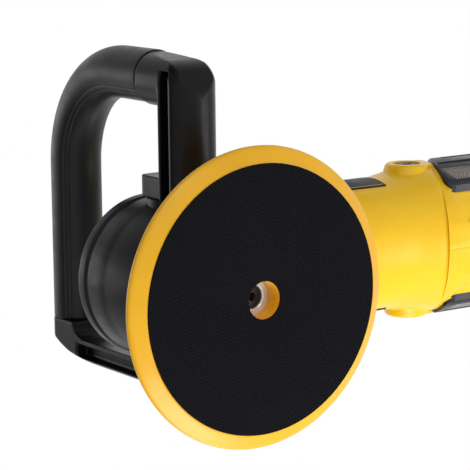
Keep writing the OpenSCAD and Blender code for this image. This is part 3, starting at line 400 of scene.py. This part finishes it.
def grip_section(radius, groove_angles):
    """A circle with fine seam grooves. Angles run from the side axis towards the out axis, in degrees."""
    section = []
    for k in range(int(360 / SECTION_STEP)):
        a = k * SECTION_STEP
        depth = 0.0
        for g in groove_angles:
            away = abs((a - g + 180) % 360 - 180)
            if away < GROOVE_HALF_WIDTH:
                depth = max(depth, GROOVE_DEPTH * math.cos(away / GROOVE_HALF_WIDTH * math.pi / 2) ** 2)
        r = radius - depth
        section.append((r * math.cos(math.radians(a)), r * math.sin(math.radians(a))))
    return section


BEND_R = 64 * MM
TOP_STEPS, BEND_STEPS, ARM_STEPS = 24, 40, 8


def handle_path(start_y, end_z):
    """The D-handle's centre line from the grip's free end, round the bend and down the arm."""
    bend_y, bend_z = bail_arm_y + BEND_R, bail_z - BEND_R
    places = []
    for k in range(TOP_STEPS + 1):
        y = start_y + (bend_y - start_y) * k / TOP_STEPS
        places.append((Vector((0, y, bail_z)), Vector((0, 0, 1))))
    for k in range(1, BEND_STEPS + 1):
        a = math.pi / 2 * k / BEND_STEPS
        out = Vector((0, -math.sin(a), math.cos(a)))
        places.append((Vector((0, bend_y, bend_z)) + out * BEND_R, out))
    for k in range(1, ARM_STEPS + 1):
        z = bend_z + (end_z - bend_z) * k / ARM_STEPS
        places.append((Vector((0, bail_arm_y, z)), Vector((0, -1, 0))))
    return places


# Millimetres in from each end, and the size of the section there. The lower end is nearly flush.
FREE_END = [(0.0, 0.955), (0.3, 0.98), (0.9, 0.995), (1.6, 1.0)]
LOWER_END = [(1.5, 1.0), (0.6, 0.997), (0.0, 0.985)]
SEAM_ANGLES = [180 + 28, 180 + 40, 360 - 28]

path = handle_path(grip_high.y, grip_low.z)
stations = []
for depth, scale in FREE_END:
    place, out = path[0]
    stations.append((place - Vector((0, depth * MM, 0)), Vector((1, 0, 0)), out, scale))
stations += [(place, Vector((1, 0, 0)), out, 1.0) for place, out in path[1:-1]]
for depth, scale in LOWER_END:
    place, out = path[-1]
    stations.append((place + Vector((0, 0, depth * MM)), Vector((1, 0, 0)), out, scale))
sleeve = sweep("handle_sleeve", stations, grip_section(bail_r, SEAM_ANGLES), "grip_rubber")
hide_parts("bail_grip")
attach(sleeve, "housing")


# ---------- boot and other rubber trim, from the CAD shape with fuller edges ----------

SOFT_SEGMENTS = 3


def soft_copy(name, node, slot, width_mm):
    """A piece that stands for a soft CAD node: its shape with its edges rolled over."""
    mesh = nodes[node].data.copy()
    mesh.name = name
    if "custom_normal" in mesh.attributes:
        mesh.attributes.remove(mesh.attributes["custom_normal"])
    work = bmesh.new()
    work.from_mesh(mesh)
    bmesh.ops.remove_doubles(work, verts=work.verts, dist=SAME_POINT)
    bmesh.ops.dissolve_limit(work, angle_limit=math.radians(0.6), verts=work.verts, edges=work.edges)
    sharp = [e for e in work.edges if len(e.link_faces) == 2 and e.calc_face_angle(0) > EDGE_ANGLE]
    bmesh.ops.bevel(work, geom=sharp, offset=width_mm * MM, segments=SOFT_SEGMENTS, profile=0.5,
                    affect="EDGES", clamp_overlap=False)
    work.to_mesh(mesh)
    work.free()
    for face in mesh.polygons:
        face.use_smooth = True
    mesh.set_sharp_from_angle(angle=math.radians(40))
    made = bpy.data.objects.new(name, mesh)
    bpy.context.scene.collection.objects.link(made)
    mesh.materials.clear()
    mesh.materials.append(MATERIALS[slot])
    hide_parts(node)
    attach(made, "housing")


soft_copy("head_boot", "gear_case_boot", "boot_rubber", 0.5)
soft_copy("grip_cover", "handle_overmould", "grip_rubber", 0.6)
soft_copy("cable_bush", "cord_inlet", "grip_rubber", 0.6)


# ---------- name plate borders ----------

def curved_frame(name, side):
    """A thin raised line round a name plate that is wrapped on the motor housing."""
    low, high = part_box("name_plates")
    proud, sunk = 0.12 * MM, 0.18 * MM
    inset = 1.3 * MM
    line = 0.45 * MM
    corner = 1.6 * MM
    radius = high.y + proud
    root = high.y - sunk
    reach = math.asin((high.z - motor_z) / high.y) - inset / high.y
    x0, x1 = low.x + inset, high.x - inset
    half = reach * high.y
    outer = round_corners([(x0, -half), (x1, -half), (x1, half), (x0, half)], corner, 6)
    inner = round_corners([(x0 + line, line - half), (x1 - line, line - half), (x1 - line, half - line),
                           (x0 + line, half - line)], corner - line, 6)
    vertices, faces = [], []
    count = len(outer)
    for ring, r in ((outer, root), (outer, radius), (inner, radius), (inner, root)):
        for x, s in ring:
            a = s / high.y
            vertices.append((x, side * r * math.cos(a), motor_z + r * math.sin(a)))
    for k in range(4):
        nxt = (k + 1) % 4
        for i in range(count):
            j = (i + 1) % count
            faces.append((k * count + i, k * count + j, nxt * count + j, nxt * count + i))
    made = finish_mesh(name, vertices, faces, "plate_dark", 30)
    made.data.materials.clear()
    made.data.materials.append(GOLD_LINE)
    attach(made, "housing")


curved_frame("plate_border_left", -1)
curved_frame("plate_border_right", 1)


# ---------- studio ----------

view_right = Vector((0.8202, 0.0107, -0.5720))
view_down = Vector((-0.1073, 0.9850, -0.1354))
view_forward = Vector((0.5620, 0.1724, 0.8090))
target = Vector((0.10, -0.01, 0.09))


def box_light(name, forward, down, right, size, watts, colour=(1, 1, 1)):
    """A soft square light aimed at the middle of the tool, placed along the camera's three axes."""
    place = target + view_forward * forward + view_down * down + view_right * right
    data = bpy.data.lights.new(name, "AREA")
    data.shape = "RECTANGLE"
    data.size, data.size_y = size
    data.energy = watts
    data.color = colour
    made = bpy.data.objects.new(name, data)
    bpy.context.scene.collection.objects.link(made)
    made.location = place
    made.rotation_mode = "QUATERNION"
    made.rotation_quaternion = (target - place).to_track_quat("-Z", "Y")


box_light("key", -0.8, 1.5, 0.5, (1.1, 1.1), 21)
box_light("under", 0.1, 1.5, 0.2, (1.0, 1.0), 7)
box_light("front_fill", -1.5, -1.1, 0.3, (0.7, 0.7), 5, (0.96, 0.98, 1))
box_light("right_edge", -0.45, 0.3, 1.4, (0.7, 1.3), 9)
box_light("left_edge", 0.6, -0.1, -1.5, (0.5, 1.4), 3)

world = bpy.data.worlds.new("studio")
bpy.context.scene.world = world
world.use_nodes = True
sky = world.node_tree
background = sky.nodes["Background"]
background.inputs["Strength"].default_value = 1.0
direction = add(sky, "ShaderNodeTexCoord").outputs["Generated"]
along = add(sky, "ShaderNodeVectorMath", operation="DOT_PRODUCT")
along.inputs[1].default_value = tuple(view_forward)
sky.links.new(direction, along.inputs[0])
half = add(sky, "ShaderNodeMath", operation="MULTIPLY_ADD")
half.inputs[1].default_value = 0.5
half.inputs[2].default_value = 0.5
sky.links.new(along.outputs["Value"], half.inputs[0])
# Bright ahead of the camera, as a lit backdrop, and dim behind it.
SKY_STOPS = [(0.0, 0.05), (0.5, 0.13), (0.72, 0.6), (0.9, 1.0)]
sky.links.new(ramp(sky, half.outputs["Value"], SKY_STOPS), background.inputs["Color"])

FLOOR_Z = -1.25
FLOOR_HALF = 12.0
floor_corners = [(x * FLOOR_HALF, y * FLOOR_HALF, FLOOR_Z) for x, y in ((-1, -1), (1, -1), (1, 1), (-1, 1))]
floor_mesh = bpy.data.meshes.new("floor")
floor_mesh.from_pydata(floor_corners, [], [(0, 1, 2, 3)])
floor = bpy.data.objects.new("floor", floor_mesh)
bpy.context.scene.collection.objects.link(floor)
floor_mesh.materials.append(moulded("floor_pale", (0.86, 0.86, 0.86), 0.7, 2.0, 0.03, 0.01))

CAMERA_PLACE = (-0.7281, -0.2579, -1.0184)
camera_data = bpy.data.cameras.new("camera")
camera_data.lens = 168.5
camera_data.sensor_width = 36.0
camera_data.clip_end = 50.0
camera = bpy.data.objects.new("camera", camera_data)
bpy.context.scene.collection.objects.link(camera)
turn = Matrix((view_right, -view_down, -view_forward)).transposed().to_4x4()
camera.matrix_world = Matrix.Translation(CAMERA_PLACE) @ turn
bpy.context.scene.camera = camera
bpy.context.scene.view_settings.view_transform = "Standard"
